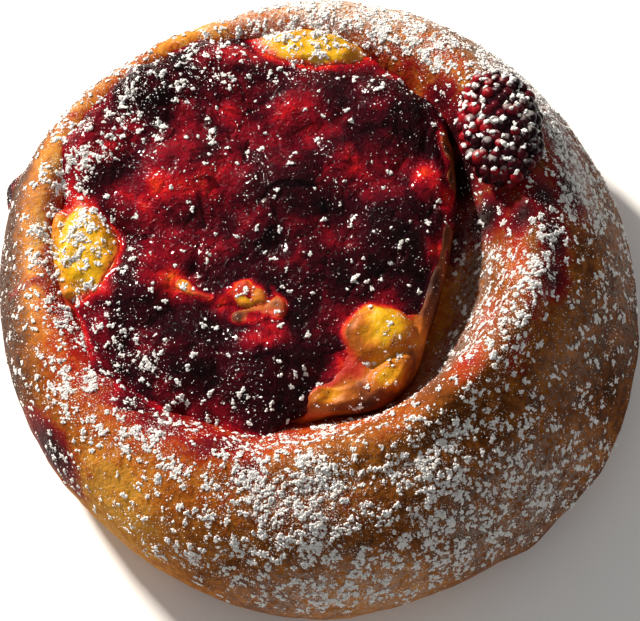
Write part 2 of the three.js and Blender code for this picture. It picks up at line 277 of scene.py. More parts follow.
bun = dict(
    radius=59.9, waves=[(1, 0.55, 34), (2, 0.6, -30), (3, 0.5, 47), (4, 0.5, -21), (6, 0.4, -28)],
    baseInset=8, widestHeight=11.5, rimHeight=29.4, rimWaves=[(1, 3.6, -45), (3, 0.6, 20)],
    # the rim is highest this share of the way out from the well, and further out at: direction, half width, share
    crestShare=0.27, crestShifts=[(-12, 44, 0.085)],
    shoulder=(-6, 75, 1.1),  # where the flank falls away faster: direction, half width, strength
    drips=[(-56, 20.3, 14.5, 5.6, 2.2), (38.5, -46, 6, 8, 1)],  # baked on: place, radius, rise; the first is burnt
    slices=620, slopeSteps=30, flankSteps=106, footSteps=16,
    # relief of swellings, puckers and pores: height, size and seed; it counts for more in height than along the normals
    relief=[(0.5, 19, 11), (0.22, 5.5, 21), (0.06, 1.4, 24)], reliefInHeight=1.15,
    flatFoot=(0.3, 5), plainFoot=(9, 16),  # heights over which all relief, or the folds and the bubble, set in
    # folds along the rim: direction and half width in degrees, height, place from the crest, half width
    folds=[(-38, 92, 1.9, -0.6, 6.5), (-25, 31, 1.9, 0.3, 4)],
    pit=(17.1 - 46.4j, 1.3, 1.1),  # one burst bubble: place, radius, depth
    stains=[  # baked-on juice: place, half length, half width, turn, strength
        (-48 - 31j, 17, 5, -53, 1), (-52 - 2j, 9, 2.2, 15, 0.6), (36 + 41j, 9, 5, -40, 0.7),
        (45 + 27j, 18, 7, -68, 1), (46 + 16j, 14, 7, -80, 1), (41 + 13j, 10, 8, -60, 1),
        (33 + 25j, 17, 12, 97, 1.05), (31 + 12j, 9, 8, 60, 1.05), (25 + 28j, 15, 6, 80, 1),
        (24 + 35j, 9, 6, 120, 0.8), (26 + 10j, 14, 5, 80, 0.9), (33 + 8j, 6, 5, 0, 0.45),
        (37 + 9j, 9, 6, 60, 1), (42.5 + 5j, 12, 6, 95, 1), (42 - 3j, 9, 6, 75, 0.95),
        (38.5 - 8j, 10, 5, 80, 0.55), (35 - 18j, 11, 5, 60, 0.45), (24 - 10j, 16, 4, 65, 0.35),
        (12 - 25j, 12, 4, 35, 0.4), (-18 - 34j, 14, 6, 5, 0.85), (-12 - 39j, 6, 4.5, 40, 0.85),
        (-28 - 29j, 15, 7, -35, 0.8), (-4 - 46j, 26, 7, 5, 0.32), (18 + 41.5j, 13, 3.5, -42, 0.6),
        (23 + 35j, 9, 5, 120, 0.95), (27 + 21j, 14, 6, 95, 1.1), (36 + 9j, 8, 5, 100, 0.6),
        (-34 + 44j, 12, 5, 35, 0.35), (-46 + 31j, 9, 4, 55, 0.45)],
    golden=[  # paler crust
        (-50 + 5j, 28, 5, 85, 0.5), (48 - 29j, 10, 8, 60, 0.2), (43 - 18j, 18, 9, 68, 0.2),
        (-21 + 49j, 13, 5, 15, 0.5), (-37 - 41j, 20, 9, -42, 0.55), (10 - 57j, 26, 7, 8, 0.3),
        # the spots on this line lie along the lit crest and paint a highlight there
        (35.5 - 1j, 6, 2.5, 95, 0.3), (27 - 20j, 9, 3, 60, 0.3), (18 - 29j, 9, 3, 35, 0.3)],
    ruddy=[  # crust that juice has tinted
        (27 - 3j, 19, 5, 80, 0.5), (35 + 1j, 15, 6, 98, 0.95), (31 - 10j, 14, 7, 75, 0.8),
        (26 - 20j, 14, 7, 58, 0.9), (15 - 29j, 14, 7, 35, 0.75), (-12 - 43j, 34, 12, 0, 0.75),
        (22 + 44j, 15, 7, -38, 0.85), (-2 + 50j, 24, 6, 0, 0.75), (-49 + 13j, 11, 3.5, 85, 0.95),
        (-20 - 35j, 20, 8, -15, 0.95), (-40 - 28j, 16, 8, -45, 0.75), (-29 - 36j, 16, 7, -28, 0.75)],
    # how dark it is baked, with painted shade and painted light in some rows: a level, blotches, and rows of direction,
    # half width, strength
    # the steep rows and the outer-left rows darken the left flank, which faces the key light, as painted shade
    bake=0.46, blotches=(0.16, 24, 31), frontBake=(-25, 115, 0.24), steepPaintedShade=(160, 95, 0.45), steepRise=(0.2, 0.8),
    # the outer-right rows are darker baked crust and in part painted shade
    rightBakeAndShade=(5, 60, 0.22), rightPast=(8, 16), leftPaintedShade=(178, 65, 0.5), leftPast=(4, 9),
    # the foot is not made paler on the left, which keeps painted shade there
    paleFoot=0.12, footHeight=(6, 22), footPaintedShade=(150, 95),
    # behind the lip it is paler low down, painted light in the shaded hollow, and browner above, painted shade on the
    # slope
    hollow=(-12, 70), hollowPaintedShade=0.28, hollowPast=(2, 6), hollowEnd=(11, 16), hollowPaintedLight=0.32, palePast=(1, 5),
    # juice round the filling: how far the blush and the stain reach, how strong they are and how uneven
    patchSize=9, blushStart=0.3, blushReach=3, blushFurther=[(238, 58, 19), (290, 75, 8), (95, 70, 6)],
    blushUneven=4, blushLeast=1.5, blush=0.65, blushStronger=[(225, 120, 0.35)], ruddyShare=0.8, ruddyUneven=0.3,
    stainStart=-0.5, stainReach=4, stainFurther=[(240, 60, 9)], stainUneven=3, stainHeight=(8, 15),
    # the last stain row makes the stain weaker behind the lip, painted light in the shaded hollow
    stain=0.3, stainStronger=[(245, 75, 0.36), (60, 60, 0.3), (-12, 70, -0.25)],
    charSize=3, charEdge=(0.12, 0.24),  # the burnt drip's ragged edge
)
well = dict(
    middle=-10 + 10j, radius=39.2, waves=[(2, 1.1, 65), (3, 0.7, 50)], floorHeight=14, floorShare=0.72,
    # where the dough closes in on the filling, or makes way for it: direction, half width, size
    tucks=[(-10, 55, 3.1), (-76, 17, 2), (-51, 21, -1.9)],
    valley=(-22, 68, 1.7),  # where the slope behind the filling is hollow: direction, half width, strength
)
clearance = 0.35
flatSteps = 3  # rings across a flat floor or underside


# The well's radius: a circle with waves, less the tucks
def wellRadius(angle, tucked=True):
    return well["radius"] + waveSum(well["waves"], angle) - tucked * swellSum(well["tucks"], angle)


# The rim's height: a level with waves
def rimHeight(angle):
    return bun["rimHeight"] + waveSum(bun["rimWaves"], angle)


# Plan places are complex numbers, x + iy: a share of the way from the well's middle to its edge
def wellPlace(angle, share):
    return well["middle"] + share * wellRadius(angle) * np.exp(1j * angle)


# The bun's widest line, drawn in by an inset
def outlinePlace(angle, inset):
    return (bun["radius"] + waveSum(bun["waves"], angle) - inset) * np.exp(1j * angle)


# The crest: a share of the way from the well's edge, without its tucks, to the outline
def crestPlace(angle):
    edge = well["middle"] + wellRadius(angle, False) * np.exp(1j * angle)
    share = bun["crestShare"] + swellSum(bun["crestShifts"], angle)
    return edge + share * (outlinePlace(angle, 0) - edge)


# The slope's rise: eased, and raised to a power where it is hollow
def slopeRise(angle, share):
    at, halfWidth, strength = well["valley"]
    return ease(share) ** (1 + strength * swellAt(angle, at, halfWidth))


# Inner slope: straight in plan from the floor's edge to the crest
def slopePoint(angle, share):
    start = wellPlace(angle, well["floorShare"])
    height = well["floorHeight"] + (rimHeight(angle) - well["floorHeight"]) * slopeRise(angle, share)
    return start + share * (crestPlace(angle) - start), height


# The flank's fall: a quarter ellipse, raised to a power where it falls away faster
def flankFall(angle, across):
    at, halfWidth, strength = bun["shoulder"]
    return np.sqrt(1 - across**2) ** (1 + strength * swellAt(angle, at, halfWidth))


# Outer flank: the fall from the crest out and down to the widest line
def flankPoint(angle, share):
    across = np.sin(share * np.pi / 2)
    crest = crestPlace(angle)
    height = bun["widestHeight"] + (rimHeight(angle) - bun["widestHeight"]) * flankFall(angle, across)
    return crest + across * (outlinePlace(angle, 0) - crest), height


# Foot: a quarter ellipse from the widest line in and down to the flat base
def footPoint(angle, share):
    turn = share * np.pi / 2
    return outlinePlace(angle, bun["baseInset"] * (1 - np.cos(turn))), bun["widestHeight"] * (1 - np.sin(turn))


# How far a plan place lies outside the filling's edge
def pastFilling(plan):
    offset = plan - well["middle"]
    return np.abs(offset) - wellRadius(np.angle(offset))


# Direction of a plan place from the well's middle
def sideOf(plan):
    return np.angle(plan - well["middle"])


# Height of the dough on the ray from the well's middle: the slope's eased rise to the crest, then the flank's fall,
# with the same noise
def doughHeight(plan):
    offset = plan - well["middle"]
    angle, radius = np.angle(offset), np.abs(offset)
    crest, outer = np.abs(crestPlace(angle) - well["middle"]), np.abs(outlinePlace(angle, 0) - well["middle"])
    start = well["floorShare"] * wellRadius(angle)
    rise = slopeRise(angle, np.clip((radius - start) / (crest - start), 0, 1))
    inner = well["floorHeight"] + (rimHeight(angle) - well["floorHeight"]) * rise
    across = np.clip((radius - crest) / (outer - crest), 0, 1)
    flank = bun["widestHeight"] + (rimHeight(angle) - bun["widestHeight"]) * flankFall(angle, across)
    height = np.where(radius < crest, inner, flank)
    return height + bun["reliefInHeight"] * noiseSum(bun["relief"], solidPoints(plan, height))


# The bun's rings from the middle of the well's floor, over the rim and under to the middle of the base, then the
# folds, drips, burst bubble and three sizes of noise moved along the normals
def bunRings():
    angle = turns(bun["slices"])
    floor = solidPoints(wellPlace(angle, shares(flatSteps)[:-1] * well["floorShare"]), well["floorHeight"])
    slope = solidPoints(*slopePoint(angle, shares(bun["slopeSteps"])))
    flank = solidPoints(*flankPoint(angle, shares(bun["flankSteps"])[1:]))
    foot = solidPoints(*footPoint(angle, shares(bun["footSteps"])[1:]))
    base = solidPoints(outlinePlace(angle, bun["baseInset"]) * (1 - shares(flatSteps)[1:]), 0)
    rings = np.concatenate([floor, slope, flank, foot, base])
    crest = len(floor) + bun["slopeSteps"]
    plan = planOf(rings)
    fromCrest = np.abs(plan - crestPlace(angle)) * np.where(np.arange(len(rings)) < crest, -1, 1)[:, None]
    upper = ease(rings[..., 2], *bun["plainFoot"])
    relief = noiseSum(bun["relief"], rings)
    for at, halfWidth, height, place, wide in bun["folds"]:
        relief += height * swellAt(angle, at, halfWidth) * swell((fromCrest - place) / wide) * upper
    for x, y, z, radius, rise in bun["drips"]:
        relief += rise * swell(np.linalg.norm(rings - (x, y, z), axis=-1) / radius)
    place, radius, depth = bun["pit"]
    relief -= depth * swell(np.abs(plan - place) / radius) * upper
    relief *= ease(rings[..., 2], *bun["flatFoot"])  # the base stays flat
    return rings + relief[..., None] * ringNormals(rings)


# Bake with painted shading: its level, blotches and rows, with the steep and outer left and the outer right darker
# partly as painted shade, with golden spots and the foot paler, the golden spots on the crest being a painted
# highlight, and the hollow behind the lip of two tones, painted light low down and painted shade above
def bunBakeAndShading(rings, charred):
    plan = planOf(rings)
    past, side = pastFilling(plan), sideOf(plan)
    steep = 1 - ease(ringNormals(rings)[..., 2], *bun["steepRise"])
    low = 1 - ease(rings[..., 2], *bun["footHeight"])
    bake = bun["bake"] + noiseSum([bun["blotches"]], rings) + charred
    bake += swellSum([bun["frontBake"]], side) + steep * swellSum([bun["steepPaintedShade"]], side)
    bake += ease(past, *bun["rightPast"]) * swellSum([bun["rightBakeAndShade"]], side)
    bake += ease(past, *bun["leftPast"]) * swellSum([bun["leftPaintedShade"]], side)
    bake -= spotMap(plan, bun["golden"]) + bun["paleFoot"] * low * (1 - swellAt(side, *bun["footPaintedShade"]))
    # behind the lip: painted shade on the slope above, painted light low in the hollow
    above = ease(past, *bun["hollowPast"]) * (1 - ease(past, *bun["hollowEnd"]))
    below = 1 - ease(past, *bun["palePast"])
    return bake + swellAt(side, *bun["hollow"]) * (bun["hollowPaintedShade"] * above - bun["hollowPaintedLight"] * below)


# Juice: a blush and a stain that fade out from the filling's edge over their own reach, or the stronger of these and
# their spots
def bunJuice(rings, charred):
    plan = planOf(rings)
    past, side = pastFilling(plan), sideOf(plan)
    patchy = layeredNoise(rings, bun["patchSize"], 41, 3)
    reach = bun["blushReach"] + swellSum(bun["blushFurther"], side) + bun["blushUneven"] * patchy
    blush = 1 - ease(past, bun["blushStart"], np.maximum(reach, bun["blushLeast"]))
    blush *= bun["blush"] + swellSum(bun["blushStronger"], side)
    ruddy = spotMap(plan, bun["ruddy"]) * (bun["ruddyShare"] + bun["ruddyUneven"] * patchy)
    reach = bun["stainReach"] + swellSum(bun["stainFurther"], side)
    edge = 1 - ease(past + bun["stainUneven"] * patchy, bun["stainStart"], reach)
    edge *= bun["stain"] + swellSum(bun["stainStronger"], side)
    spots = spotMap(plan, bun["stains"]) * ease(rings[..., 2], *bun["stainHeight"])
    return np.maximum(blush, ruddy), np.maximum(np.maximum(spots, edge), charred)


def makeBun(material):
    rings = bunRings()
    x, y, z, radius, _ = bun["drips"][0]
    burnt = swell(np.linalg.norm(rings - (x, y, z), axis=-1) / radius)
    charred = ease(burnt * (1 + layeredNoise(rings, bun["charSize"], 43)), *bun["charEdge"])
    blush, stain = bunJuice(rings, charred)
    powder = spotMap(planOf(rings), sugar["powder"]) * ease(rings[..., 2], *sugar["powderHeight"]) * (1 - charred)
    piece = putSkin("brioche_crust", rings)
    for name, values in (
            ("bake", bunBakeAndShading(rings, charred)), ("flush", blush), ("stain", stain),
            ("veil", bunCoverage(rings, ringNormals(rings))), ("powder", powder)):
        addAttribute(piece, name, skinValues(values))
    finishPiece(piece, material, "brioche_bun")
    return rings


# Custard

custard = dict(
    level=22, seam=2.2, lip=3, highLip=(-8, 70, 1.2), lipStart=0.87, lipTop=0.955, edgeDrop=1.8,
    lipAt=[(-14, 76), (189, 18), (78, 17)], lipOnset=0.35,  # the lip stands up only here: direction, half width
    # its edge runs into the dough, or over into the hollow
    runsIn=[(190, 45), (78, 45)], runsInShare=0.9, overhang=(-12, 65, 2.8),
    topShare=0.5, footShare=1.6,
    humps=[  # place from the well's middle, half length, half width, turn in degrees, rise
        (-32 - 6j, 9.4, 5.4, 99, 5.4), (8 + 36.5j, 10, 5, -8, 4.9), (20.2 - 21.8j, 6.4, 6.2, 0, 7.4),
        (22.3 - 30j, 5, 3.8, 35, 6.2), (27 - 22.5j, 6, 4, 60, 4.4), (13 - 34j, 7, 3, 15, 5.2),
        (19.5 - 28j, 13, 7, 42, 5), (-3.4 - 14.8j, 5.2, 2.8, -8, 6.5), (2.4 - 17j, 3, 3.8, 20, 6.3),
        (-2 - 19j, 5, 3, 25, 6.3), (-13.2 - 12.7j, 5.2, 2.1, -28, 6), (30.6 + 6.6j, 3.6, 2.8, 80, 5.4)],
    slices=420, steps=140, underSteps=8, leastEdge=0.05,
    relief=[(0.5, 6, 51), (0.3, 2.2, 55)], grit=(0.22, 1.7, 53), gritFrom=(0.86, 0.93),  # height, size and seed
    warp=(1.3, 5.5, 57, 59),  # how far, size and seeds
    # juice in it: uneven, and little on the outer lip, which stays brown
    patchSize=4, tintUneven=0.15, bleedUneven=1.1, bleedStart=-0.5, bleedReach=3,
    brownLip=(-20, 100, 0.8), brownPast=(-4.5, -2),
    yellow=[  # where the custard shows clean yellow: place, half length, half width, turn, strength
        (-43.5 + 4j, 18, 13, 97, 1.2), (-1 + 46j, 20, 9, -5, 1.2), (11.5 - 11j, 10, 9, 0, 1.08),
        (16 - 14j, 14, 9, 50, 0.55), (12.4 - 20j, 5.5, 4.5, 30, 1.05), (12 - 17j, 13, 9, 45, 0.75),
        (25 + 2j, 24, 4, 85, 0.4), (-13 - 5.5j, 10, 4.5, -12, 0.85), (-24 - 3j, 7, 4, -25, 0.85),
        (3 - 23.5j, 10, 5, 15, 0.75)],
)


# Height of the custard alone: its level, plus the higher of the eased lip and the humps, less the rounding at the edge,
# with three sizes of noise
def custardAlone(plan):
    offset = plan - well["middle"]
    angle = np.angle(offset)
    lip = custard["lip"] + swellSum([custard["highLip"]], angle)
    lip = lip * ease(swellMost(custard["lipAt"], angle), 0, custard["lipOnset"])
    share = np.clip(np.abs(offset) / wellRadius(angle), 0, 1)
    rise = lip * ease(share, custard["lipStart"], custard["lipTop"])
    warped = offset + planShift(plan, custard["warp"])
    for place, long, wide, turn, height in custard["humps"]:
        along = (warped - place) * np.exp(-1j * np.radians(turn))
        away = np.hypot(along.real / long, along.imag / wide)
        rise = np.maximum(rise, height * (1 - ease(away, custard["topShare"], custard["footShare"])))
    edge = np.clip((share - custard["lipTop"]) / (1 - custard["lipTop"]), 0, 1)
    runsIn = custard["runsInShare"] * swellMost(custard["runsIn"], angle)
    drop = custard["edgeDrop"] * (1 - runsIn) + swellSum([custard["overhang"]], angle)
    height = custard["level"] + rise - drop * (1 - np.sqrt(1 - edge**2))
    flat = solidPoints(plan, 0)
    grit = noiseSum([custard["grit"]], flat) * ease(share, *custard["gritFrom"])
    return height + (noiseSum(custard["relief"], flat) + grit) * (1 - edge**4)


# Where custard and compote lie within a seam's width of each other's height, both rise by the square of the overlap
# over four widths, so that one flows into the other
def seamRise(plan):
    overlap = np.clip(custard["seam"] - np.abs(custardAlone(plan) - compoteAlone(plan)), 0, None)
    return overlap**2 / (4 * custard["seam"])


def custardTop(plan):
    return custardAlone(plan) + seamRise(plan)


# Rings over the custard's upper side, then back in under it along the slope and the floor, a clearance above the dough
def custardRings():
    angle = turns(custard["slices"])
    plan = wellPlace(angle, shares(custard["steps"]))
    top = solidPoints(plan, custardTop(plan))
    start = wellPlace(angle, well["floorShare"])
    reach = (1 - well["floorShare"]) * wellRadius(angle) / np.abs(crestPlace(angle) - start)
    under = solidPoints(*slopePoint(angle, reach * (1 - shares(custard["underSteps"]))))
    floor = solidPoints(wellPlace(angle, well["floorShare"] * (1 - shares(flatSteps)[1:])), well["floorHeight"])
    under[..., 2] = np.minimum(under[..., 2] + clearance, top[-1, :, 2] - custard["leastEdge"])
    floor[..., 2] += clearance
    return np.concatenate([top, under, floor])


def makeCustard(material):
    rings = custardRings()
    plan = planOf(rings)
    above = rings[..., 2] - compoteTop(plan)
    patchy = layeredNoise(rings, custard["patchSize"], 61, 3)
    clean = spotMap(plan, custard["yellow"])
    tint = 1 - clean + custard["tintUneven"] * patchy
    bleed = 1 - ease(above + custard["bleedUneven"] * patchy, custard["bleedStart"], custard["bleedReach"] - clean)
    brown = ease(pastFilling(plan) + patchy, *custard["brownPast"]) * swellSum([custard["brownLip"]], sideOf(plan))
    bleed *= 1 - brown
    piece = putSkin("vanilla_custard", rings)
    addAttribute(piece, "tint", skinValues(tint))
    addAttribute(piece, "bleed", skinValues(bleed))
    finishPiece(piece, material, "custard")
    return rings


# Compote

compote = dict(
    edgeHeight=26.2, crown=1.8, edgeStart=0.9, edgeDrop=2.2, outlineShare=0.985,
    overflow=(138, 62, 2.6), lap=(240, 62, 3),  # where it has run over the rim: direction, half width, size
    # where it ends as a thin film on the dough: direction, half width, thickness, then its noise and its edge
    film=(190, 112, 0.3), filmNoise=(0.2, 3.5, 97), filmDrop=1.2,
    bites=[(187, 17, 9), (205, 14, 2), (-50, 20, 6), (-70, 15, 3.4)],  # where custard shows at its edge
    # where it thins out towards the clean custard, with an earlier and deeper edge
    tapers=[(187, 36), (78, 32)], taperEarlier=0.2, taperDeeper=1.5,
    lumps=[  # place from the well's middle, radius, rise
        (-23 + 29j, 11.4, 3), (-8 + 32j, 10.2, 2.4), (9 + 24.5j, 9.6, 1.8), (23.5 + 23j, 11.4, 3),
        (-32 + 16j, 9.6, 2.6), (-15.5 + 9j, 11.4, 2.8), (4 + 5j, 12.6, 2.8), (15 + 12j, 9.6, 1.9),
        (24.5 - 1j, 11.4, 2.8), (8 - 9j, 8.4, 1.6), (-24 - 13j, 10.2, 2.3), (-15 - 26.5j, 10.2, 2.4),
        (1 - 27.5j, 11.4, 3), (30.5 + 7.5j, 6, 1.8)],
    ragged=[(5, 0.5, 10), (9, 0.5, 33), (14, 0.45, 7), (23, 0.4, 50), (37, 0.3, 20)],  # uneven edge
    underHeight=21, slices=540, steps=172,
    hollows=[(-41.5 + 2j, 17, 11, 97, 1.4), (-1 + 47j, 18, 7, 0, 0.9)],  # custard shows through
    warp=(1.6, 6, 71, 75), sunk=0.7, wrinkles=(0.16, 1.6, 93),
    # domes: rise, size and seed; the share of the rise that all have, what chance adds, and how far they reach
    fruit=(0.95, 6.8, 81), pulp=(0.45, 3.1, 85), drupelets=(0.4, 1.9, 89),
    domeLeast=0.35, domeMore=0.65, domeReach=0.75,
    # how thin it lies over the custard: from this depth on, sooner beside the clean custard, less along dark edges
    thinFrom=-2.6, thinSooner=2.4, thinTo=0.2, cleanSides=[(187, 45), (78, 40)], bright=0.12, brightFrom=-0.9,
    darkEdge=0.6, darkPast=(-9, -5), darkSide=(-20, 100), darkFront=(255, 60), darkOnset=0.3,
    filmRed=0.5, filmRedder=[(190, 50, 0.4)], filmDepth=(0.3, 3.2), filmPatches=(0.5, 3, 95),  # the film by its depth
    seedy=[  # where drupelets are whole
        (-10 - 20j, 16, 9, 10, 1), (-36 + 28j, 12, 9, 50, 0.7), (14 + 33j, 10, 9, 0, 0.5), (-20 + 38j, 14, 6, 10, 0.6)],
    # these spots are the fruit's own red together with a painted glow of light passing through thin or whole fruit
    red=[  # where thin or whole fruit lets light through: place, half length, half width, turn, strength
        (-30 + 17j, 17, 6, 92, 0.95), (-21 + 17j, 15, 11, 20, 0.72), (-17 + 31j, 6, 5, 0, 0.75),
        (-5 + 31.5j, 13, 7, 0, 0.68), (8 + 20j, 16, 9, 10, 0.6), (20 + 18j, 6.5, 5, 75, 1.1),
        (23.5 + 14j, 7, 3, 100, 0.85), (-37 + 25j, 11, 8, 45, 0.5), (22.2 + 2.8j, 7, 5, 80, 0.85),
        (-26.5 - 2.5j, 10, 5.5, -15, 1), (-13 - 7j, 10, 5.5, -12, 1.15), (-9 - 11j, 8, 4, -35, 0.8),
        (-22.8 - 24.2j, 13, 5, -25, 0.62), (9 - 10j, 13, 11, 0, 0.62), (-10.9 - 13.5j, 6, 4, 0, 0.8),
        (-45 + 22j, 17, 6, 72, 0.85), (-24 + 24j, 16, 9, 95, 0.6), (-37 + 14j, 9, 7, 60, 0.6),
        (-29 + 4j, 10, 7, 90, 0.55), (-16 + 44j, 12, 4.5, 5, 0.75), (14 + 40j, 10, 4, -25, 0.6),
        (-40 - 8j, 12, 4, -70, 0.6), (0 + 4j, 12, 8, 0, 0.4), (-25 + 12j, 22, 20, 0, 0.45),
        (-8 + 30j, 24, 13, 0, 0.42)],
)


# The compote's edge: a share of the well's radius, plus where it has run over, less the bites, with ragged waves that
# are stronger on the lap
def compoteRadius(angle):
    radius = compote["outlineShare"] * wellRadius(angle) + swellSum([compote["overflow"], compote["lap"]], angle)
    ragged = (1 + swellAt(angle, *compote["lap"][:2])) * waveSum(compote["ragged"], angle)
    return radius - swellSum(compote["bites"], angle) + ragged


# Height of the compote alone: a low crown plus the highest lump at each place, less the rounding at the edge; on it
# lie domes packed over a warped plan, large for cooked fruit, middling for pulp and small for drupelets, and wrinkles;
# on the left it ends as a thin film that climbs onto the dough
def compoteAlone(plan):
    offset = plan - well["middle"]
    angle = np.angle(offset)
    share = np.clip(np.abs(offset) / compoteRadius(angle), 0, 1)
    lumps = 0
    for place, radius, rise in compote["lumps"]:
        lumps = np.maximum(lumps, rise * swell(np.abs(offset - place) / radius))
    taper = swellMost(compote["tapers"], angle)
    start = compote["edgeStart"] - compote["taperEarlier"] * taper
    edge = np.clip((share - start) / (1 - start), 0, 1)
    drop = (1 - taper) * (1 - np.sqrt(1 - edge**2)) + compote["taperDeeper"] * taper * ease(edge)
    warped = plan + planShift(plan, compote["warp"])
    detail = -compote["sunk"] - spotMap(plan, compote["hollows"])
    for (rise, size, seed), amount in (
            (compote["fruit"], 1), (compote["pulp"], 1), (compote["drupelets"], spotMap(plan, compote["seedy"]))):
        away, number = nearestSeed(warped, size, seed)
        dome = np.sqrt(np.clip(1 - (away / compote["domeReach"]) ** 2, 0, 1))
        detail = detail + rise * amount * (compote["domeLeast"] + compote["domeMore"] * number) * dome
    detail = detail + noiseSum([compote["wrinkles"]], solidPoints(warped, 0))
    top = compote["edgeHeight"] + compote["crown"] * (1 - share**2) + lumps
    top = top - compote["edgeDrop"] * drop + detail * (1 - edge)
    at, halfWidth, thickness = compote["film"]
    onDough = swellAt(angle, at, halfWidth)
    film = thickness * onDough**0.25 + noiseSum([compote["filmNoise"]], solidPoints(plan, 0))
    film = film - compote["filmDrop"] * edge**6
    return np.where(onDough > 0, np.maximum(top, doughHeight(plan) + film), top)


def compoteTop(plan):
    return compoteAlone(plan) + seamRise(plan)


# Rings over the compote's upper side, then back in under it at one height
def compoteRings():
    angle = turns(compote["slices"])
    offset = shares(compote["steps"]) * compoteRadius(angle) * np.exp(1j * angle)
    plan = well["middle"] + offset
    top = solidPoints(plan, compoteTop(plan))
    under = solidPoints(well["middle"] + (1 - shares(flatSteps)[1:]) * offset[-1:], compote["underHeight"])
    return np.concatenate([top, under])


def makeCompote(material):
    rings = compoteRings()
    plan = planOf(rings)
    side = sideOf(plan)
    clean = swellMost(compote["cleanSides"], side)
    under = custardTop(plan) - rings[..., 2]
    thin = ease(under, compote["thinFrom"] - compote["thinSooner"] * clean, compote["thinTo"])
    front = ease(swellAt(side, *compote["darkFront"]), 0, compote["darkOnset"])
    edged = np.maximum(swellAt(side, *compote["darkSide"]), front)
    thin *= 1 - compote["darkEdge"] * ease(pastFilling(plan), *compote["darkPast"]) * edged
    thin *= 1 + compote["bright"] * ease(under, compote["brightFrom"], compote["thinTo"])
    depth = rings[..., 2] - doughHeight(plan) + noiseSum([compote["filmPatches"]], rings)
    film = compote["filmRed"] + swellSum(compote["filmRedder"], side)
    film *= 1 - ease(depth, *compote["filmDepth"])  # a thin film on the dough turns from maroon to red
    flesh = np.maximum(np.maximum(spotMap(plan, compote["red"]), thin), film)
    piece = putSkin("berry_compote_jelly", rings)
    addAttribute(piece, "flesh", skinValues(flesh))
    finishPiece(piece, material, "berry_compote")
    return rings


# Ball of slices and stacks: unit sphere points by longitude and latitude, with its faces
def ballShape(slices, stacks):
    lift = np.pi * np.arange(1, stacks)[:, None] / stacks
    angle = turns(slices) + 0.5 * fullTurn / slices * np.arange(stacks - 1)[:, None]
    rows = np.stack(np.broadcast_arrays(np.sin(lift) * np.cos(angle), np.sin(lift) * np.sin(angle), np.cos(lift)), -1)
    points = np.concatenate([[(0, 0, 1)], rows.reshape(-1, 3), [(0, 0, -1)]])
    quads, first, last = stackFaces(stacks - 1, slices)
    return points, np.concatenate([first, quads[:, [0, 1, 3]], quads[:, [3, 1, 2]], last])


# Copies of one shape joined in one mesh: each copy's points are the shape's, turned by its own axes, drawn in or out
# by its own random shares and moved to its place
def putCopies(name, shape, axes, places, uneven=0, rng=None):
    points, faces = shape
    allPoints = np.einsum("pk,nkd->npd", points, axes)
    if uneven:
        allPoints = allPoints * (1 + uneven * (2 * rng.random(allPoints.shape[:2] + (1,)) - 1))
    allPoints = allPoints + places[:, None]
    allFaces = faces[None] + len(points) * np.arange(len(places))[:, None, None]
    return putMesh(name, allPoints.reshape(-1, 3), np.zeros((0, 4), int), allFaces.reshape(-1, 3))


# Bramble berry

berry = dict(
    angle=24.5, share=-0.02, turn=97, halfLength=11.8, halfWidth=8, halfHeight=5.6, sink=4.2, buried=-0.5,
    drupelets=230, radius=1.3, unevenness=0.5, smaller=0.6, pushed=0.04, coreShare=0.9, slices=9, stacks=6, seed=5,
    redderInward=0.35,  # redder on the side towards the filling
    # sugar dust: the share of drupelets that have it, how full it is, and the way it faces, up and back
    cappedShare=0.88, dustLeast=0.6, dustMore=0.45, dustWay=(-0.25, 0.35, 0.85),
)


# The berry's own frame on the crust: ahead, sideways and up axes, and its middle
def berryFrame():
    angle, step = np.radians(berry["angle"]), 0.01
    seat = solidPoints(*flankPoint(angle, berry["share"]))
    outward = solidPoints(*flankPoint(angle, berry["share"] + step)) - seat
    onward = solidPoints(*flankPoint(angle + step, berry["share"])) - seat
    up = np.cross(outward, onward)
    up /= np.linalg.norm(up)
    ahead = np.array([np.cos(np.radians(berry["turn"])), np.sin(np.radians(berry["turn"])), 0])
    side = np.cross(up, ahead)
    side /= np.linalg.norm(side)
    return np.stack([np.cross(side, up), side, up]), seat + up * (berry["halfHeight"] - berry["sink"])


# Drupelets on a golden-angle spiral round the long axis, each a ball, and an egg-shaped core among them
def makeBerry(material):
    rng = np.random.default_rng(berry["seed"])
    axes, middle = berryFrame()
    index = np.arange(berry["drupelets"])
    along = 1 - 2 * (index + 0.5) / len(index)
    turn = index * np.pi * (3 - np.sqrt(5))
    around = np.sqrt(1 - along**2)
    local = np.stack([along, around * np.cos(turn), around * np.sin(turn)], -1)
    local = local[local[:, 2] > berry["buried"]]
    half = np.array([berry["halfLength"], berry["halfWidth"], berry["halfHeight"]])
    size = berry["radius"] * (1 + berry["unevenness"] * (rng.random(len(local)) - berry["smaller"]))
    local = local + berry["pushed"] * rng.normal(size=local.shape)  # pushed out of line by their neighbours
    places = (local * (half - size[:, None])) @ axes + middle
    shape = ballShape(berry["slices"], berry["stacks"])
    coreAxes = (half * berry["coreShare"])[:, None] * axes
    allAxes = np.concatenate([size[:, None, None] * np.eye(3), coreAxes[None]])
    piece = putCopies("bramble_berry_drupelets", shape, allAxes, np.concatenate([places, middle[None]]))
    inward = local[:, 1] * np.sign(axes[1, 0])
    ripeness = rng.random(len(local)) - berry["redderInward"] * inward
    addAttribute(piece, "ripeness", np.repeat(np.append(ripeness, 0), len(shape[0])))
    capped = np.append(rng.random(len(local)) < berry["cappedShare"], False)
    fullness = capped * (berry["dustLeast"] + berry["dustMore"] * rng.random(len(capped)))
    facing = shape[0] @ np.array(berry["dustWay"])
    addAttribute(piece, "dust", (fullness[:, None] * facing).ravel())
    finishPiece(piece, material, "bramble_berry")
    return places[capped[:-1]], size[capped[:-1]]


# Icing sugar

